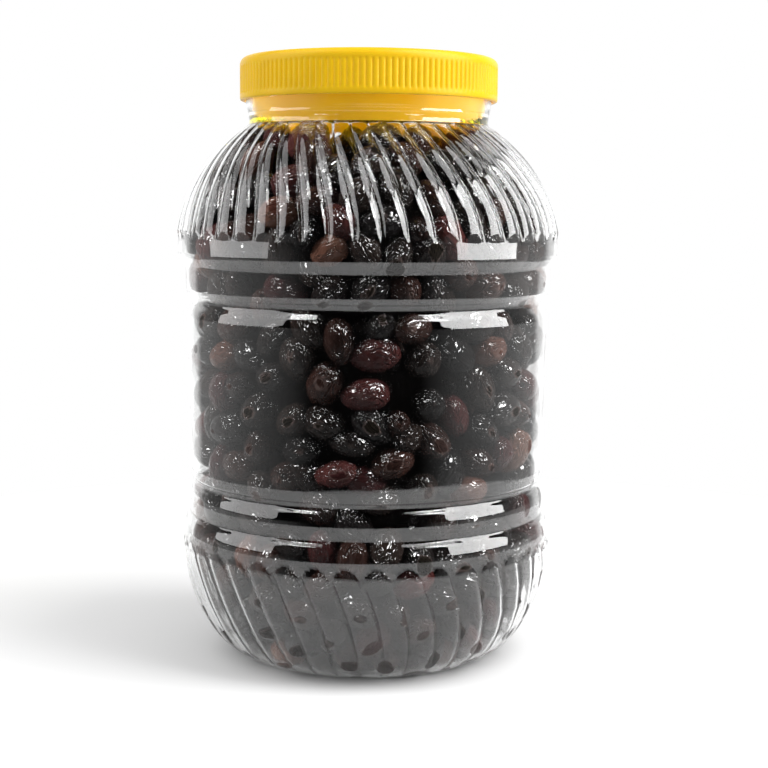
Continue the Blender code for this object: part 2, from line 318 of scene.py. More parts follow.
# The jar: rings of points up the outer wall, over the rim and down the inner wall, closed at two poles.
def makeJar(material):
    s = jarShape
    columns = s["columns"]
    even = 2 * math.pi * np.arange(columns) / columns
    footAngle = even[None, :] + columnTurn(np.array([0.0]))[:, None]
    underRings = roundTheAxis(underLine[:, :1], footAngle, underLine[:, 1:])

    # row heights of both walls; the foot's and the dome's rows are even steps of their arcs
    foot, lowerTop = 0.0478, 0.0490
    outer = np.concatenate([
        foot * (1 - np.cos(spread(0.05, math.pi / 2, 12))), spread(foot, 0.0575, 14), [0.0583],
        edgeRows(0.0590, 0.0900), [0.1000, 0.1200, 0.1400], edgeRows(0.1550, 0.1900), [0.1920, 0.1945],
        spread(0.1953, 0.2010, 11), s["shoulderHeight"] + s["domeRise"] * np.sin(spread(0.1121, 0.8556, 17)),
        [0.2470, 0.2480, 0.2490, 0.2505, 0.2520],
        [0.2525, 0.2529, 0.2533, 0.2540, 0.2560, 0.2580],
        [0.2640, s["rimHeight"] - s["rimEdge"]],
    ])
    inner = np.concatenate([
        s["shoulderHeight"] + s["domeRise"] * np.sin(spread(0.8665, 0.1150, 11)), spread(0.2012, 0.1952, 7),
        [0.1900], edgeRows(0.1550, 0.1880)[::-1], [0.1400, 0.1000], edgeRows(0.0590, 0.0900)[::-1],
        spread(0.0577, lowerTop, 6), lowerTop * (1 - np.cos(spread(0.92 * math.pi / 2, 0.12, 5))),
    ])
    angle, innerAngle = columnAngles(outer), columnAngles(inner)
    outerRings, innerRings = outerWall(angle, outer[:, None]), innerWall(innerAngle, inner[:, None])

    # the rim and the bore of the neck, as (radius, height)
    bore, neckBore = s["collarRadius"] - s["neckWall"], s["neckRadius"] - s["neckWall"]
    rim = np.array([
        (s["collarRadius"] - s["rimEdge"], s["rimHeight"]), (bore + 0.0005, s["rimHeight"]),
        (bore, s["rimHeight"] - s["rimEdge"]), (0.0561, 0.2600), (0.0557, 0.2575), (0.0551, 0.2552),
        (neckBore, 0.2525), (neckBore, 0.2498),
    ])
    rimAngle = even[None, :] + columnTurn(np.array([0.26]))[:, None]
    rimRings = roundTheAxis(rim[:, :1], rimAngle, rim[:, 1:])
    floor = underLine[3::-1] + (0, s["plate"])
    floorRings = roundTheAxis(floor[:, :1], footAngle, floor[:, 1:])

    rings = np.concatenate([underRings, outerRings, rimRings, innerRings, floorRings])
    rows = len(rings)
    poles = [(0, 0, s["hollowCentre"]), (0, 0, s["hollowCentre"] + s["plate"])]
    points = np.concatenate([rings.reshape(-1, 3), poles])
    faces = [
        ringFaces(rows, columns),
        fanFaces(0, columns, rows * columns, upward=False),
        fanFaces((rows - 1) * columns, columns, rows * columns + 1, upward=True),
    ]
    mesh = meshFrom("jarShell", points, faces)

    # shading normals of both walls come from the formulas, so that straight runs mirror as straight ones
    normals = np.empty(3 * len(points), np.float32)
    mesh.vertex_normals.foreach_get("vector", normals)
    normals = normals.reshape(-1, 3)
    start = len(underRings) * columns
    normals[start:start + outer.size * columns] = wallNormals(outerWall, angle, outer[:, None])
    start += (len(outer) + len(rim)) * columns
    normals[start:start + inner.size * columns] = -wallNormals(innerWall, innerAngle, inner[:, None])
    mesh.normals_split_custom_set_from_vertices(normals)
    piece = addPiece("jarShell", mesh, material, "jar")
    print("jar shell:", rows, "rings,", sum(len(f) * (f.shape[1] - 2) for f in faces), "triangles")
    return piece


# Clear plastic. Daylight passes straight through it for shadows and for light that olives and table scatter.
def makeClearPlastic():
    material, tree, shader = newMaterial("clearPlastic")
    place = addNode(tree, "ShaderNodeTexCoord").outputs["Object"]
    ripple = addNode(tree, "ShaderNodeTexNoise", Vector=place, Scale=38.0, Detail=2.0, Roughness=0.5)
    bump = addNode(tree, "ShaderNodeBump", Strength=0.3, Distance=0.00015, Height=ripple.outputs["Fac"])
    feed(tree, shader, {
        "Base Color": (0.985, 0.992, 0.99, 1), "Roughness": 0.03, "IOR": 1.52, "Transmission Weight": 1.0,
        "Normal": bump.outputs["Normal"],
    })
    rays = addNode(tree, "ShaderNodeLightPath")
    clear = addNode(tree, "ShaderNodeBsdfTransparent", Color=(0.93, 0.93, 0.93, 1)).outputs[0]
    forShadow = mixShader(tree, rays.outputs["Is Shadow Ray"], shader.outputs[0], clear)
    forScatter = mixShader(tree, rays.outputs["Is Diffuse Ray"], forShadow, clear)
    feed(tree, tree.nodes["Material Output"], {"Surface": forScatter})
    return material


# The cap and the plug ring inside the neck.
capShape = {
    "radius": 0.0600, "bottom": 0.2594, "top": 0.2792, "bore": 0.0579, "plate": 0.0019, "rounding": 0.0036,
    "ribs": 132, "ribDepth": 0.0005, "ribBottom": 0.2618, "ribTop": 0.2751, "columnsPerRib": 6,
    "ribRows": (0, 0.04, 0.09, 0.16, 0.5, 0.84, 0.91, 0.96, 1), "ribHalf": 0.16, "runOut": 0.10,
    "plugRadius": 0.0541, "plugWall": 0.0015, "plugBottom": 0.2478, "plugColumns": 180,
}


# Cap: profile rings round the axis; between ribBottom and ribTop each rib is a half-round that runs out.
def makeCap(material):
    s = capShape
    columns = s["ribs"] * s["columnsPerRib"]
    angle = 2 * math.pi * np.arange(columns) / columns
    turns = np.radians(np.linspace(0, 90, 8))
    edge = np.stack([
        s["radius"] - s["rounding"] + s["rounding"] * np.cos(turns),
        s["top"] - s["rounding"] + s["rounding"] * np.sin(turns),
    ], axis=1)
    sides = s["radius"] - 0.00002
    ribRows = s["ribBottom"] + (s["ribTop"] - s["ribBottom"]) * np.array(s["ribRows"])
    profile = np.concatenate([
        [(s["bore"], s["top"] - s["plate"]), (s["bore"], s["bottom"] + 0.0003)],
        [(s["bore"] + 0.0003, s["bottom"])],
        [(sides - 0.0008, s["bottom"]), (sides - 0.0002, s["bottom"] + 0.0003), (sides, s["bottom"] + 0.0009)],
        np.stack([np.full(len(ribRows), sides), ribRows], axis=1),
        edge[edge[:, 1] > s["ribTop"] + 0.0002],
        [(0.040, s["top"]), (0.012, s["top"])],
    ])
    across = np.abs((np.arange(columns) / s["columnsPerRib"] + 0.5) % 1 - 0.5)
    # 0 over the rib, 1 in the groove
    hollow = np.clip((across - s["ribHalf"]) / (0.5 - s["ribHalf"]), 0, 1) ** 1.5
    along = np.clip((profile[:, 1] - s["ribBottom"]) / (s["ribTop"] - s["ribBottom"]), 0, 1)
    onSide = (profile[:, 0] > s["bore"] + 0.001) & (along > 0) & (along < 1)
    run = np.where(onSide, np.clip(np.minimum(along, 1 - along) / s["runOut"], 0, 1) ** 0.5, 0)
    radius = profile[:, :1] - s["ribDepth"] * run[:, None] * hollow[None, :]
    rings = roundTheAxis(radius, angle[None, :], profile[:, 1:])
    rows = len(rings)
    points = np.concatenate([rings.reshape(-1, 3), [(0, 0, s["top"]), (0, 0, s["top"] - s["plate"])]])
    faces = [
        ringFaces(rows, columns),
        fanFaces((rows - 1) * columns, columns, rows * columns, upward=True),
        fanFaces(0, columns, rows * columns + 1, upward=False),
    ]
    mesh = meshFrom("screwCap", points, faces)
    mesh.set_sharp_from_angle(angle=math.radians(50))
    piece = addPiece("screwCap", mesh, material, "cap")
    print("screw cap:", rows, "rings")
    return piece


# Plug ring: a closed tube under the cap's plate, with a rounded lower edge.
def makePlugRing(material):
    s = capShape
    columns = s["plugColumns"]
    angle = 2 * math.pi * np.arange(columns) / columns
    outer, inner, foot = s["plugRadius"], s["plugRadius"] - s["plugWall"], s["plugBottom"] + 0.0001
    top = s["top"] - s["plate"] - 0.0001
    profile = np.array([
        (inner, top), (inner, foot + 0.0004), (inner + 0.0004, foot), (outer - 0.0004, foot),
        (outer, foot + 0.0004), (outer, top),
    ])
    rings = roundTheAxis(profile[:, :1], angle[None, :], profile[:, 1:])
    firstRow = np.arange(columns)
    lastRow = (len(rings) - 1) * columns + firstRow
    closing = np.stack([lastRow, np.roll(lastRow, -1), np.roll(firstRow, -1), firstRow], axis=1)
    mesh = meshFrom("plugRing", rings.reshape(-1, 3), [ringFaces(len(rings), columns), closing])
    mesh.set_sharp_from_angle(angle=math.radians(50))
    return addPiece("plugRing", mesh, material, "cap")


# Cap plastic: two near colours in soft clouds, a fine grain, and amber light through it for shadow rays.
def makeCapPlastic(name, colour, deep, roughness):
    material, tree, shader = newMaterial(name)
    place = addNode(tree, "ShaderNodeTexCoord").outputs["Object"]
    cloud = addNode(tree, "ShaderNodeTexNoise", Vector=place, Scale=60.0, Detail=3.0).outputs["Fac"]
    grain = addNode(tree, "ShaderNodeTexNoise", Vector=place, Scale=900.0, Detail=2.0).outputs["Fac"]
    bump = addNode(tree, "ShaderNodeBump", Strength=0.12, Distance=0.0001, Height=grain)
    feed(tree, shader, {
        "Base Color": mixColour(tree, mapRange(tree, cloud, 0.35, 0.7), colour, deep),
        "Roughness": mapRange(tree, grain, 0.3, 0.7, roughness - 0.05, roughness + 0.06),
        "Specular IOR Level": 0.18, "Subsurface Weight": 0.25, "Subsurface Radius": (0.004, 0.0025, 0.0004),
        "Subsurface Scale": 1.0, "Normal": bump.outputs["Normal"],
    })
    rays = addNode(tree, "ShaderNodeLightPath")
    amber = addNode(tree, "ShaderNodeBsdfTransparent", Color=(0.88, 0.85, 0.14, 1)).outputs[0]
    through = mixShader(tree, rays.outputs["Is Shadow Ray"], shader.outputs[0], amber)
    feed(tree, tree.nodes["Material Output"], {"Surface": through})
    return material


# The olives.
oliveShape = {
    "length": 0.0205, "width": 0.0152, "rows": 16, "columns": 28, "wallCount": 425,
    "bend": 6.28, "wrinkle": (0.06, 0.19), "intoWall": 0.00014,
    "lowShare": 0.8, "highShare": 0.45, "shareHeight": 0.060,
    "floorPoints": 30, "lowestPoint": 18, "pathTop": 0.2462, "seed": 41,
    "dip": {"angle": -18.0, "width": 11.0, "height": 0.2385},
}
# The looser layer behind them, and the olives that lie across the top of the heap.
deepShape = {"count": 330, "rows": 9, "columns": 14, "topCount": 26, "topHeight": 0.2365, "topRadius": 0.046}
# The dark core of the heap: its inset grows from low to high, and lumps of "lump" metres cover it.
coreShape = {"columns": 90, "rows": 60, "firstPoint": 26, "top": 0.2380, "lump": 0.0018,
             "insetHeights": (0.050, 0.066), "insets": (0.0105, 0.0168)}
# Kinds of olive: share of the drawn ones, darkest and lightest skin, patch on the wall, depth of the folds.
oliveKinds = [
    {"piece": "blackOlives", "skin": "oliveBlack", "share": 0.44, "dark": (0.003, 0.0025, 0.0025, 1),
     "light": (0.009, 0.006, 0.005, 1), "contact": (0.005, 0.004, 0.003, 1), "folds": 0.0009},
    {"piece": "brownOlives", "skin": "oliveBrown", "share": 0.33, "dark": (0.006, 0.003, 0.0025, 1),
     "light": (0.019, 0.0085, 0.0065, 1), "contact": (0.010, 0.005, 0.004, 1), "folds": 0.0008},
    {"piece": "burgundyOlives", "skin": "oliveBurgundy", "share": 0.17, "dark": (0.014, 0.004, 0.004, 1),
     "light": (0.036, 0.011, 0.010, 1), "contact": (0.016, 0.005, 0.005, 1), "folds": 0.0007},
    {"piece": "russetOlives", "skin": "oliveRusset", "share": 0.06, "dark": (0.034, 0.014, 0.010, 1),
     "light": (0.066, 0.031, 0.021, 1), "contact": (0.026, 0.010, 0.007, 1), "folds": 0.0006},
]


# The wall's inner path as a table: length along it, radius, height, outward normal and the outline's height.
# It starts with the flat floor.
def wallTable():
    height = np.concatenate([np.linspace(0.0016, 0.030, 90), np.linspace(0.0304, 0.2600, 440)])
    r, z, outR, outZ = innerPath(height)
    flat = np.linspace(0.020, r[0] - 0.001, oliveShape["floorPoints"])
    flatZ = np.interp(flat, underLine[:4, 0], underLine[:4, 1]) + jarShape["plate"]
    r, z = np.concatenate([flat, r]), np.concatenate([flatZ, z])
    outR, outZ = np.concatenate([0 * flat, outR]), np.concatenate([0 * flat - 1, outZ])
    height = np.concatenate([0 * flat, height])
    length = np.concatenate([[0], np.cumsum(np.hypot(np.diff(r), np.diff(z)))])
    return {"length": length, "r": r, "z": z, "outR": outR, "outZ": outZ, "height": height}


# Length along the wall's path at a height above the floor.
def lengthAt(table, height):
    first = oliveShape["floorPoints"]
    return np.interp(height, table["z"][first:], table["length"][first:])


# Lengths along the path between which olives lie.
def pathEnds(table):
    return table["length"][oliveShape["lowestPoint"]], lengthAt(table, oliveShape["pathTop"])


# Lengths along the path, drawn evenly over the wall's area.
def drawLengths(rng, table, count):
    area = np.cumsum(table["r"] * np.gradient(table["length"]))
    return np.clip(np.interp(rng.uniform(0, area[-1], count), area, table["length"]), *pathEnds(table))


# Distance from points to the wall's inner surface, flutes and all: positive in the air, negative in the wall.
def wallGap(table, points):
    radius = np.hypot(points[:, 0], points[:, 1])
    nearest = np.empty(len(points), int)
    chunk = 20000
    for begin in range(0, len(points), chunk):
        part = slice(begin, begin + chunk)
        away = (radius[part, None] - table["r"][None, :]) ** 2 + (points[part, 2:3] - table["z"][None, :]) ** 2
        nearest[part] = away.argmin(axis=1)
    outR, outZ = table["outR"][nearest], table["outZ"][nearest]
    distance = (radius - table["r"][nearest]) * outR + (points[:, 2] - table["z"][nearest]) * outZ
    angle = np.arctan2(points[:, 0], -points[:, 1])
    flutes = fluteDepth(angle, table["height"][nearest])
    out = np.stack([outR * np.sin(angle), -outR * np.cos(angle), outZ], axis=1)
    return -distance - flutes, out


# Frames at places on the wall: origin, direction round, direction up the path, outward normal.
def wallFrames(table, angle, along):
    outR = np.interp(along, table["length"], table["outR"])
    outZ = np.interp(along, table["length"], table["outZ"])
    size = np.hypot(outR, outZ)
    outR, outZ = outR / size, outZ / size
    radius, height = (np.interp(along, table["length"], table[key]) for key in ("r", "z"))
    origin = roundTheAxis(radius, angle, height)
    around = roundTheAxis(0 * angle + 1, angle + math.pi / 2, 0 * angle)
    out = np.stack([outR * np.sin(angle), -outR * np.cos(angle), outZ], axis=1)
    upward = np.stack([-outZ * np.sin(angle), outZ * np.cos(angle), outR], axis=1)
    return origin, around, upward, out


# Squared reach of an ellipse on the unrolled wall, as its two squares and its product.
def ellipseReach(long, short, bearing):
    xx = (long * np.cos(bearing)) ** 2 + (short * np.sin(bearing)) ** 2
    yy = (long * np.sin(bearing)) ** 2 + (short * np.cos(bearing)) ** 2
    xy = (long ** 2 - short ** 2) * np.sin(bearing) * np.cos(bearing)
    return xx, yy, xy


# Pushes ellipses on the unrolled wall apart until they hardly overlap; held ones stay where they are.
def relaxPlaces(table, angle, along, ellipse, held, rounds):
    xx, yy, xy = ellipse
    low, high = pathEnds(table)
    free = np.where(held, 0.0, 1.0)
    share, furthest = 0.35, 0.02
    for step in range(rounds):
        radius = np.interp(along, table["length"], table["r"])
        turn = (angle[:, None] - angle[None, :] + math.pi) % (2 * math.pi) - math.pi
        dx = turn * (radius[:, None] + radius[None, :]) / 2
        dy = along[:, None] - along[None, :]
        distance = np.hypot(dx, dy) + np.eye(len(angle)) + 1e-9
        ux, uy = dx / distance, dy / distance
        reach = np.sqrt(xx[:, None] * ux ** 2 + 2 * xy[:, None] * ux * uy + yy[:, None] * uy ** 2)
        overlap = np.clip((reach + reach.T) - distance, 0, furthest)
        np.fill_diagonal(overlap, 0)
        angle = angle + free * (overlap * ux).sum(axis=1) * share / radius
        along = np.clip(along + free * (overlap * uy).sum(axis=1) * share, low, high)
    return angle, along


# An olive's surface for arrays of olives: an egg-like ellipsoid whose radius carries long wrinkles that fade
# towards the middle, broad dents and a pit at the stem end; v runs from the stem end, u runs round.
def oliveSurface(rng, count, rows, columns, wrinkle):
    v = math.pi * (np.arange(1, rows + 1) / (rows + 1)) ** 1.12
    u = 2 * math.pi * np.arange(columns) / columns
    v, u = v[None, :, None], u[None, None, :]
    bend = oliveShape["bend"]

    def pick(low, high):
        return rng.uniform(low, high, count)[:, None, None]

    egg = 1 + pick(-0.05, 0.10) * np.cos(v)
    waves = 0
    for folds in (3, 5, 8):
        sway = pick(-1.2, 1.2) * np.sin(2 * v + pick(0, bend))
        waves = waves + pick(0.3, 1.0) * np.abs(np.sin(folds / 2 * u + sway + pick(0, bend))) / folds * 3
    ends = 0.25 + 0.75 * np.abs(np.cos(v)) ** 0.8
    patch = np.clip(0.3 + 0.9 * np.cos(u - pick(0, bend)), 0, 1)
    dents = pick(0.0, 0.035) * np.cos(2 * u + pick(0, bend)) * np.sin(v)
    dents = dents + pick(0.0, 0.03) * np.cos(u + pick(0, bend) + v)
    crumple = 1 - wrinkle[:, None, None] * waves * ends * (0.35 + 0.65 * patch) * np.sin(v) ** 0.3 + dents
    pit = 1 - 0.17 * np.exp(-(v / 0.20) ** 2) * (v < 1)
    x = np.cos(v) * pit * (1 + 0 * u) * np.ones((count, 1, 1))
    y = np.sin(v) * np.cos(u) * egg * crumple
    z = np.sin(v) * np.sin(u) * egg * crumple
    body = np.stack([x, y, z], axis=-1).reshape(count, -1, 3)
    tips = np.zeros((count, 2, 3))
    tips[:, 0, 0], tips[:, 1, 0] = 0.80, -1.0
    return np.concatenate([body, tips], axis=1)


# Faces of one olive grid, with fans at both ends, repeated for each olive.
def oliveFaces(count, rows, columns):
    size = rows * columns + 2
    quads = ringFaces(rows, columns)[:, ::-1]
    fans = np.concatenate([
        fanFaces(0, columns, size - 2, upward=True),
        fanFaces((rows - 1) * columns, columns, size - 1, upward=False),
    ])[:, ::-1]
    shift = (np.arange(count) * size)[:, None, None]
    return [(quads[None] + shift).reshape(-1, 4), (fans[None] + shift).reshape(-1, 3)]


# Three axes of each olive from its bearing on the wall, its lean out of it and its roll about itself.
def oliveAxes(around, upward, out, bearing, lean, roll):
    bearing, lean, roll = bearing[:, None], lean[:, None], roll[:, None]
    flat = np.cos(bearing) * around + np.sin(bearing) * upward
    long = np.cos(lean) * flat + np.sin(lean) * out
    side = np.cross(out, flat)
    third = np.cross(long, side)
    return np.stack([
        long, np.cos(roll) * side + np.sin(roll) * third, -np.sin(roll) * side + np.cos(roll) * third,
    ], axis=1)


# Stores one number or vector per point of a mesh.
def setAttribute(mesh, name, kind, values):
    layer = mesh.attributes.new(name, kind, "POINT")
    part = "vector" if kind == "FLOAT_VECTOR" else "value"
    layer.data.foreach_set(part, np.asarray(values, np.float32).ravel())


# One piece of joined olives, with what the skin reads: gap to the wall in mm, tone and place in the grain.
def addOlives(name, material, points, rows, columns, gap, tones, grain):
    count, size = points.shape[:2]
    mesh = meshFrom(name, points.reshape(-1, 3), oliveFaces(count, rows, columns))
    setAttribute(mesh, "gapToWall", "FLOAT", gap)
    setAttribute(mesh, "oliveTone", "FLOAT", np.repeat(tones, size))
    setAttribute(mesh, "oliveGrain", "FLOAT_VECTOR", grain)
    print(name + ":", count)
    return addPiece(name, mesh, material, "olives")


# Olives that stand out in the front of the jar: (angle, height in mm, length, width, bearing, lean, kind).
frontOlives = [
    (2.8, 148.5, 22.5, 15.5, 10, 5, 2), (-0.5, 131.0, 22.0, 14.5, 5, -8, 2),
    (-14.0, 135.0, 21.5, 18.0, 70, 20, 1), (18.5, 145.5, 17.5, 16.5, 60, 40, 0),
    (20.0, 126.0, 16.5, 15.5, 40, 50, 0), (9.5, 118.0, 17.0, 12.5, 75, 65, 1),
    (-4.5, 110.0, 21.0, 13.5, -8, 0, 0), (8.5, 101.5, 20.5, 16.0, 20, -5, 1),
    (21.5, 111.0, 20.5, 14.5, -50, 25, 1), (-9.8, 96.5, 21.0, 12.5, 10, 8, 2),
    (-16.0, 82.0, 20.5, 17.0, -25, 15, 1), (4.0, 83.5, 20.0, 14.0, 5, -5, 0),
    (17.5, 87.0, 19.5, 14.5, 60, 25, 0), (43.5, 148.5, 18.5, 14.5, 20, 20, 3),
    (50.0, 101.0, 18.0, 14.5, 80, 20, 2), (36.0, 85.5, 18.5, 13.5, 15, 10, 3),
    (-46.5, 131.0, 18.0, 14.0, 85, 60, 1), (-32.0, 137.0, 18.5, 15.0, 20, 20, 0),
    (-24.5, 119.0, 18.5, 15.0, 30, 10, 0), (-38.5, 105.0, 18.0, 14.5, 60, 10, 1),
    (-21.5, 106.0, 19.0, 14.0, 10, 15, 0), (-37.0, 86.0, 18.5, 15.0, -30, 20, 0),
    (-27.5, 93.0, 17.5, 15.0, 50, 65, 1),
]


# Olives on the wall: the given ones in front, and drawn ones that are pushed apart. Each is an ellipsoid that
# hangs off the wall by its own reach and is pressed flat where it would enter the plastic.
def makeWallOlives(rng, table, skins):
    s = oliveShape
    given, more = np.array(frontOlives), s["wallCount"]
    free = drawLengths(rng, table, more)
    angle = np.concatenate([np.radians(given[:, 0]), rng.uniform(0, 2 * math.pi, more)])
    along = np.concatenate([lengthAt(table, given[:, 1] / 1000), free])
    held = np.arange(len(angle)) < len(given)
    bearing = np.concatenate([np.radians(given[:, 4]), rng.uniform(0, math.pi, more)])
    leanFree = np.where(rng.random(more) < 0.2, rng.uniform(0.8, 1.3, more), rng.normal(0, 0.3, more))
    lean = np.concatenate([np.radians(given[:, 5]), leanFree * rng.choice([-1, 1], more)])
    scale = rng.normal(1.0, 0.06, more).clip(0.86, 1.12)
    length = np.concatenate([given[:, 2] / 1000, s["length"] * scale * rng.uniform(0.93, 1.05, more)])
    width = np.concatenate([given[:, 3] / 1000, s["width"] * scale * rng.uniform(0.93, 1.06, more)])
    depth = width * rng.uniform(0.90, 1.0, len(width))
    shares = [entry["share"] for entry in oliveKinds]
    kind = np.concatenate([given[:, 6].astype(int), rng.choice(len(shares), more, p=shares)])

    half = np.stack([length, width, depth], axis=1) / 2
    flatReach = np.hypot(half[:, 0] * np.cos(lean), half[:, 1] * np.sin(lean))
    angle, along = relaxPlaces(table, angle, along, ellipseReach(flatReach, half[:, 1], bearing), held, 140)
    # a dip in the top of the heap, left of the front, lets the cap's amber ring show through the dome
    dip = s["dip"]
    aside = np.abs(np.degrees(angle + math.pi) % 360 - 180 - dip["angle"]) > dip["width"]
    keep = aside | (along < lengthAt(table, dip["height"]))
    angle, along, bearing, lean, kind, half, held = (
        values[keep] for values in (angle, along, bearing, lean, kind, half, held)
    )
    count = len(angle)
    print("olives on the wall:", count)

    origin, around, upward, out = wallFrames(table, angle, along)
    axes = oliveAxes(around, upward, out, bearing, lean, rng.uniform(0, 2 * math.pi, count))
    reach = np.sqrt((((axes * out[:, None, :]).sum(axis=2) * half) ** 2).sum(axis=1))
    touches = rng.random(count) < np.where(origin[:, 2] < s["shareHeight"], s["lowShare"], s["highShare"])
    sunk = np.where(touches, rng.uniform(0.0001, 0.0007, count), rng.uniform(-0.0018, 0.0, count))
    sunk[held] = rng.uniform(0.0001, 0.0006, held.sum())
    centre = origin - out * (reach - sunk)[:, None]

    unit = oliveSurface(rng, count, s["rows"], s["columns"], rng.uniform(*s["wrinkle"], count))
    points = centre[:, None, :] + np.einsum("npk,nk,nkc->npc", unit, half, axes)
    gap, wallOut = wallGap(table, points.reshape(-1, 3))
    moved = points.reshape(-1, 3) - wallOut * np.clip(-gap - s["intoWall"], 0, None)[:, None]
    moved, gap = moved.reshape(points.shape), gap.reshape(points.shape[:2])
    tones = rng.random(count)
    offsets = rng.uniform(-40, 40, (count, 3))
    grain = unit * (half / half[:, 1:2])[:, None, :] + offsets[:, None, :]
    pieces = []
    for number, entry in enumerate(oliveKinds):
        mine = kind == number
        pieces.append(addOlives(entry["piece"], skins[number], moved[mine], s["rows"], s["columns"],
                                gap[mine] * 1000, tones[mine], grain[mine]))
    return pieces


# A second, looser layer behind the first, with coarser olives; its first ones lie across the top of the heap.
def makeDeepOlives(rng, table, skin):
    s = deepShape
    count = s["count"]
    deep = drawLengths(rng, table, count)
    turn = rng.uniform(0, 2 * math.pi, count)
    halfSizes = ((0.0090, 0.0106), (0.0068, 0.0080), (0.0066, 0.0078))
    half = np.stack([rng.uniform(low, high, count) for low, high in halfSizes], axis=1)
    bearing = rng.uniform(0, math.pi, count)
    none = np.zeros(count, bool)
    turn, deep = relaxPlaces(table, turn, deep, ellipseReach(half[:, 0], half[:, 1], bearing), none, 60)
    origin, around, upward, out = wallFrames(table, turn, deep)
    lean, roll = rng.normal(0, 0.4, count), rng.uniform(0, oliveShape["bend"], count)
    axes = oliveAxes(around, upward, out, bearing, lean, roll)
    centre = origin - out * rng.uniform(0.0185, 0.0225, count)[:, None]
    # a sunflower pattern
    top = np.arange(s["topCount"])
    spot = s["topRadius"] * np.sqrt((top + 0.5) / s["topCount"])
    topHeight = s["topHeight"] + rng.uniform(-0.002, 0.002, s["topCount"])
    centre[:s["topCount"]] = roundTheAxis(spot, 2.4 * top, topHeight)
    unit = oliveSurface(rng, count, s["rows"], s["columns"], rng.uniform(0.01, 0.05, count))
    points = centre[:, None, :] + np.einsum("npk,nk,nkc->npc", unit, half, axes)
    farOff = np.full(count * unit.shape[1], 9.0)
    tones = rng.random(count)
    grain = unit * 1.2 + rng.uniform(-40, 40, (count, 1, 3))
    return addOlives("deepOlives", skin, points, s["rows"], s["columns"], farOff, tones, grain)


# Dark core: the wall's path moved well inside, with lumps the size of olives.
def makeHeapCore(table, material):
    s = coreShape
    columns = s["columns"]
    lengths = np.linspace(table["length"][s["firstPoint"]], lengthAt(table, s["top"]), s["rows"])
    angle = 2 * math.pi * np.arange(columns) / columns
    keys = ("r", "z", "outR", "outZ")
    r, z, outR, outZ = (np.interp(lengths, table["length"], table[key])[:, None] for key in keys)
    wave = np.sin(25 * angle[None, :] + 2 * np.sin(lengths[:, None] * 190)) * np.sin(lengths[:, None] * 330)
    inward = np.interp(z, s["insetHeights"], s["insets"]) + s["lump"] * wave
    rings = roundTheAxis(np.clip(r - inward * outR, 0.004, None), angle, z - inward * outZ)
    rows = len(rings)
    lowest, highest = rings[0, :, 2].mean(), rings[-1, :, 2].mean()
    points = np.concatenate([rings.reshape(-1, 3), [(0, 0, lowest), (0, 0, highest)]])
    faces = [
        ringFaces(rows, columns), fanFaces(0, columns, rows * columns, upward=False),
        fanFaces((rows - 1) * columns, columns, rows * columns + 1, upward=True),
    ]
    addPiece("heapCore", meshFrom("heapCore", points, faces), material, "olives")


# Skin wrinkles shared by all the olives: plump folds between thin creases, drawn out along the fruit.
def makeWrinkleGroup():
    group = bpy.data.node_groups.new("oliveWrinkles", "ShaderNodeTree")
    for name in ("Height", "Speckle"):
        group.interface.new_socket(name=name, in_out="OUTPUT", socket_type="NodeSocketFloat")
    grain = addNode(group, "ShaderNodeAttribute", attribute_name="oliveGrain").outputs["Vector"]
    parts = addNode(group, "ShaderNodeSeparateXYZ", Vector=grain)
    stretched = addNode(group, "ShaderNodeCombineXYZ", X=mathNode(group, "MULTIPLY", parts.outputs["X"], 0.5),
                        Y=parts.outputs["Y"], Z=parts.outputs["Z"])
    folds = addNode(group, "ShaderNodeTexNoise", Vector=stretched.outputs[0],
                    Scale=2.5, Detail=1.6, Roughness=0.45, Distortion=0.8)
    centred = mathNode(group, "SUBTRACT", folds.outputs["Fac"], 0.5)
    crease = mathNode(group, "MULTIPLY", mathNode(group, "ABSOLUTE", centred), 5.0, clamp=True)
    plump = mathNode(group, "POWER", crease, 0.55)
    where = addNode(group, "ShaderNodeTexNoise", Vector=grain, Scale=0.9, Detail=1.0)
    patches = mapRange(group, where.outputs["Fac"], 0.30, 0.60, 0.25, 1.0)
    spots = addNode(group, "ShaderNodeTexNoise", Vector=grain, Scale=14.0, Detail=3.0)
    feed(group, addNode(group, "NodeGroupOutput"), {
        "Height": mathNode(group, "MULTIPLY", plump, patches), "Speckle": spots.outputs["Fac"],
    })
    return group
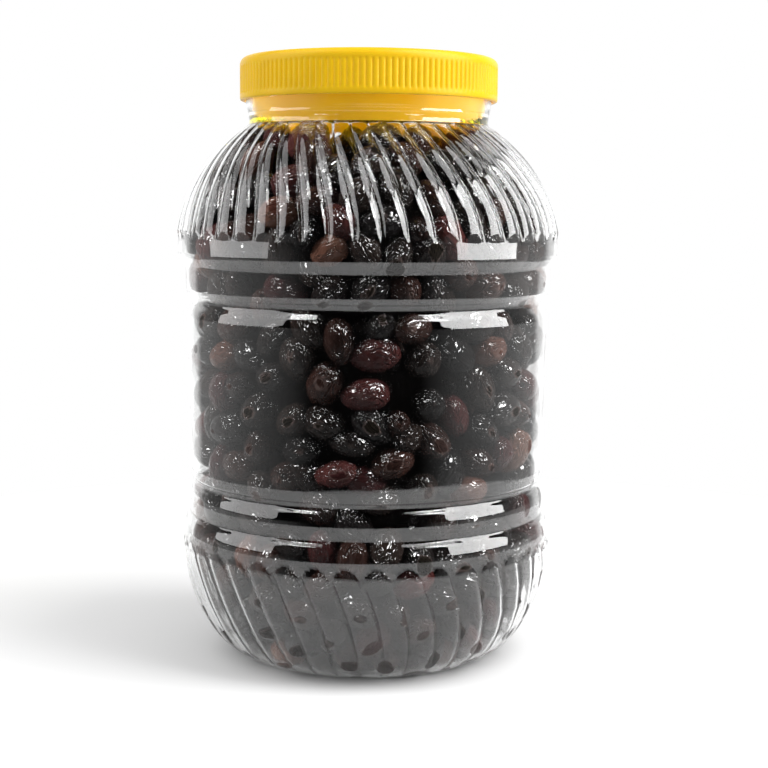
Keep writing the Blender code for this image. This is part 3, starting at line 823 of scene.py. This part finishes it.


# Wet olive skin. Where it lies on the wall it loses its gloss, and a thin pale rim runs round that patch: a
# painted highlight for light caught in the thin gap to the wall.
def makeOliveSkin(wrinkles, look):
    material, tree, shader = newMaterial(look["skin"])
    folds = addNode(tree, "ShaderNodeGroup", node_tree=wrinkles)
    height, speckle = folds.outputs["Height"], folds.outputs["Speckle"]
    gap = addNode(tree, "ShaderNodeAttribute", attribute_name="gapToWall").outputs["Fac"]
    tone = addNode(tree, "ShaderNodeAttribute", attribute_name="oliveTone").outputs["Fac"]
    # creases and dimples keep off the wall, so they cut into the patch where the skin lies on it
    uneven = mathNode(tree, "MULTIPLY", mathNode(tree, "SUBTRACT", height, 0.75), -0.42)
    uneven = mathNode(tree, "ADD", uneven, mathNode(tree, "MULTIPLY", speckle, 0.10))
    apart = mathNode(tree, "ADD", gap, uneven)
    touching = mapRange(tree, apart, -0.01, 0.04, 1.0, 0.0)
    # painted highlight: skin a little way off the wall is blended towards pale grey, a ring standing in for
    # light in the gap
    rim = mathNode(tree, "SUBTRACT", mapRange(tree, apart, 0.06, 0.42, 1.0, 0.0), touching, clamp=True)
    skin = mixColour(tree, tone, look["dark"], look["light"])
    shade = (0.30, 0.30, 0.30, 1)
    mottled = mixColour(tree, mapRange(tree, speckle, 0.35, 0.75), skin, shade, "MULTIPLY")
    pressed = mixColour(tree, touching, mottled, look["contact"])
    bump = addNode(tree, "ShaderNodeBump", Strength=1.0, Distance=look["folds"], Height=height)
    # the pale grey that the rim mixes in is the painted highlight round the patch
    feed(tree, shader, {
        "Base Color": mixColour(tree, mathNode(tree, "MULTIPLY", rim, 0.15), pressed, (0.16, 0.12, 0.11, 1)),
        "Roughness": mathNode(tree, "ADD", 0.55, mathNode(tree, "MULTIPLY", touching, 0.4)),
        "Specular IOR Level": 0.0, "Coat Weight": mathNode(tree, "SUBTRACT", 1.0, touching),
        "Coat Roughness": 0.07, "Coat IOR": 1.2,
        "Normal": bump.outputs["Normal"], "Coat Normal": bump.outputs["Normal"],
    })
    return material


# Table, light and camera.
studio = {
    "tableRings": (0.05, 0.12, 0.22, 0.34, 0.46), "tableShift": 0.02, "tableDrop": -0.0002,
    "tableColumns": 120, "ambient": 0.62, "aim": (0.0, 0.0, 0.13), "lampDistance": 0.9,
    "camera": {"place": (0, -0.724, 0.2132), "turn": -0.64, "tip": 6.8, "roll": 0.44, "lens": 71.53},
}
# Softboxes as (azimuth, elevation, distance, width, height, radiance). The jar mirrors a bright lower box
# under a dimmer top on each side; the fills light the cap and the table.
softboxes = {
    "rightBox": (72.5, 24, 0.85, 0.72, 0.76, 13.0), "rightTop": (71, 60, 0.95, 0.70, 0.34, 4.2),
    "leftBox": (-80, 24, 0.85, 0.76, 0.76, 4.5), "leftTop": (-82, 60, 0.95, 0.78, 0.34, 1.9),
    "rightFill": (71, 38, 0.85, 0.60, 1.30, 5.9), "leftFill": (-82, 38, 0.85, 0.69, 1.30, 2.1),
}
# Lamps of the olives as (azimuth, elevation, size, radiance): flecks they mirror and glows that light them.
oliveLamps = {
    "rightFleck": (48, 42, 0.26, 340), "leftFleck": (-50, 48, 0.23, 300), "backFleck": (165, 52, 0.21, 300),
    "rightGlow": (78, 28, 0.28, 185), "leftGlow": (-82, 30, 0.24, 215), "backGlow": (185, 40, 0.30, 80),
}


# Table: a white disc just under the jar, which belongs to the stage.
def makeTable():
    columns = studio["tableColumns"]
    angle = 2 * math.pi * np.arange(columns) / columns
    radii = np.array(studio["tableRings"])[:, None]
    drop = studio["tableDrop"]
    rings = roundTheAxis(radii, angle[None, :], 0 * radii + drop) + (studio["tableShift"], 0, 0)
    rows = len(radii)
    points = np.concatenate([rings.reshape(-1, 3), [(0, 0, drop)]])
    faces = [ringFaces(rows, columns)[:, ::-1], fanFaces(0, columns, rows * columns, upward=True)]
    mesh = meshFrom("whiteTable", points, faces)
    mesh.materials.append(makeMatte("whiteTable", (0.81, 0.81, 0.81, 1)))
    table = bpy.data.objects.new("whiteTable", mesh)
    scene.collection.objects.link(table)
    return table


# Puts a lamp of a light at an azimuth and elevation round the jar and turns it to face the jar.
def aimLamp(light, azimuth, elevation, distance, receivers):
    azimuth, elevation = math.radians(azimuth), math.radians(elevation)
    away = Vector((
        math.cos(elevation) * math.sin(azimuth), -math.cos(elevation) * math.cos(azimuth), math.sin(elevation),
    ))
    lamp = bpy.data.objects.new(light.name, light)
    lamp.location = Vector(studio["aim"]) + away * distance
    lamp.rotation_euler = away.to_track_quat("Z", "Y").to_euler()
    lamp.visible_camera = False
    lamp.light_linking.receiver_collection = receivers
    scene.collection.objects.link(lamp)
    return lamp


# A softbox of the given radiance: a rectangle, or an ellipse when it hangs high. It doesn't show through the
# plastic, because broad boxes would cover the gloss of the olives with grey.
def makeSoftbox(name, receivers):
    azimuth, elevation, distance, width, height, radiance = softboxes[name]
    light = bpy.data.lights.new(name, "AREA")
    light.shape = "ELLIPSE" if elevation > 45 else "RECTANGLE"
    light.size, light.size_y = width, height
    light.energy = radiance * math.pi * width * height
    aimLamp(light, azimuth, elevation, distance, receivers).visible_transmission = False


# A small bright lamp for the wet olives. A fleck lamp shows only through the plastic, as sharp flecks on their
# wrinkles; a glow lamp only lights them.
def makeOliveLamp(name, receivers, fleck):
    azimuth, elevation, size, radiance = oliveLamps[name]
    light = bpy.data.lights.new(name, "AREA")
    light.shape = "DISK"
    light.size = size
    light.energy = radiance * math.pi * math.pi * size ** 2 / 4
    lamp = aimLamp(light, azimuth, elevation, studio["lampDistance"], receivers)
    lamp.visible_glossy = False
    lamp.visible_diffuse = not fleck
    lamp.visible_transmission = fleck


# The room: white to the camera and straight through the jar; in mirrored rays dim in front, white behind and
# with pale walls low on both sides, which veil the flanks of the jar; even light for scattered rays.
def makeRoom():
    world = bpy.data.worlds.new("studioRoom")
    scene.world = world
    world.use_nodes = True
    world.cycles.sampling_method = "NONE"
    tree = world.node_tree
    place = addNode(tree, "ShaderNodeTexCoord").outputs["Generated"]
    parts = addNode(tree, "ShaderNodeSeparateXYZ", Vector=place)
    x, y, z = (parts.outputs[axis] for axis in "XYZ")
    rays = addNode(tree, "ShaderNodeLightPath")
    behind = mapRange(tree, y, 0.64, 0.78, 0.0, 0.95)
    beside = mapRange(tree, y, -0.60, 0.20, 0.010, 0.22)
    below = mapRange(tree, z, 0.42, 0.62, 1.0, 0.03)
    rightWall = mapRange(tree, x, 0.52, 0.94, 0.0, 0.42)
    leftWall = mapRange(tree, x, -0.52, -0.94, 0.0, 0.34)
    lowDown = mapRange(tree, z, -0.06, 0.06, 1.0, 0.0)
    walls = mathNode(tree, "MULTIPLY", mathNode(tree, "ADD", rightWall, leftWall), lowDown)
    upright = mathNode(tree, "MULTIPLY", mathNode(tree, "ADD", behind, beside), below)
    mirrored = mathNode(tree, "ADD", upright, walls)
    isMirrored = mathNode(tree, "GREATER_THAN", rays.outputs["Glossy Depth"], 0.5)
    isScattered = mathNode(tree, "GREATER_THAN", rays.outputs["Diffuse Depth"], 0.5)
    inMirror = mathNode(tree, "MULTIPLY", isMirrored, mirrored)
    first = mathNode(tree, "ADD", inMirror, mathNode(tree, "SUBTRACT", 1.0, isMirrored))
    direct = mathNode(tree, "MULTIPLY", first, mathNode(tree, "SUBTRACT", 1.0, isScattered))
    scattered = mathNode(tree, "MULTIPLY", isScattered, studio["ambient"])
    level = mathNode(tree, "ADD", direct, scattered)
    feed(tree, tree.nodes["Background"], {"Strength": level, "Color": (1, 1, 1, 1)})


# The camera of the photo: a long lens a little above the jar's middle, tipped down.
def makeCamera():
    s = studio["camera"]
    data = bpy.data.cameras.new("camera")
    data.lens, data.sensor_width = s["lens"], 36.0
    data.clip_start = 0.02
    camera = bpy.data.objects.new("camera", data)
    turn = Matrix.Rotation(math.radians(s["turn"]), 4, "Z")
    tip = Matrix.Rotation(math.radians(90 - s["tip"]), 4, "X")
    roll = Matrix.Rotation(math.radians(s["roll"]), 4, "Z")
    camera.matrix_world = Matrix.Translation(s["place"]) @ turn @ tip @ roll
    scene.collection.objects.link(camera)
    scene.camera = camera


# A collection that lamps are linked to, so that they light only its pieces.
def receiversOf(name, pieces):
    collection = bpy.data.collections.new(name)
    for piece in pieces:
        collection.objects.link(piece)
    return collection


# Builds the stage and every piece, links each lamp to what it lights, and sets how light is traced.
def main():
    makeCamera()
    makeRoom()
    table = makeTable()
    jar = makeJar(makeClearPlastic())
    cap = makeCap(makeCapPlastic("capYellow", (0.67, 0.42, 0.004, 1), (0.63, 0.39, 0.0035, 1), 0.36))
    # the plug ring is the cap's yellow plastic made deeper amber and brighter than the cap: painted glow for
    # light that the thin plastic passes into a ring in the cap's shade
    plug = makePlugRing(makeCapPlastic("plugAmberPaintedGlow", (0.97, 0.51, 0.003, 1), (0.92, 0.47, 0.003, 1), 0.40))
    wrinkles = makeWrinkleGroup()
    skins = [makeOliveSkin(wrinkles, look) for look in oliveKinds]
    rng = np.random.default_rng(oliveShape["seed"])
    walls = wallTable()
    olives = makeWallOlives(rng, walls, skins)
    olives.append(makeDeepOlives(rng, walls, skins[0]))
    makeHeapCore(walls, makeMatte("heapShade", (0.004, 0.003, 0.003, 1)))

    clear = receiversOf("clearPieces", [jar])
    plain = receiversOf("plainPieces", [table, cap, plug])
    wet = receiversOf("wetOlives", olives)
    mirroring = receiversOf("mirroringPieces", [jar] + olives)
    for name in softboxes:
        makeSoftbox(name, plain if name.endswith("Fill") else clear)
    for name in oliveLamps:
        fleck = name.endswith("Fleck")
        makeOliveLamp(name, mirroring if fleck else wet, fleck)
    print("camera, table and lights are set")

    scene.view_settings.view_transform = "Standard"
    scene.cycles.use_denoising = True
    scene.cycles.caustics_refractive = False
    scene.cycles.caustics_reflective = False
    scene.cycles.max_bounces = 16
    scene.cycles.min_light_bounces = 7
    scene.cycles.transmission_bounces = 16
    scene.cycles.glossy_bounces = 8
    scene.cycles.transparent_max_bounces = 24


main()
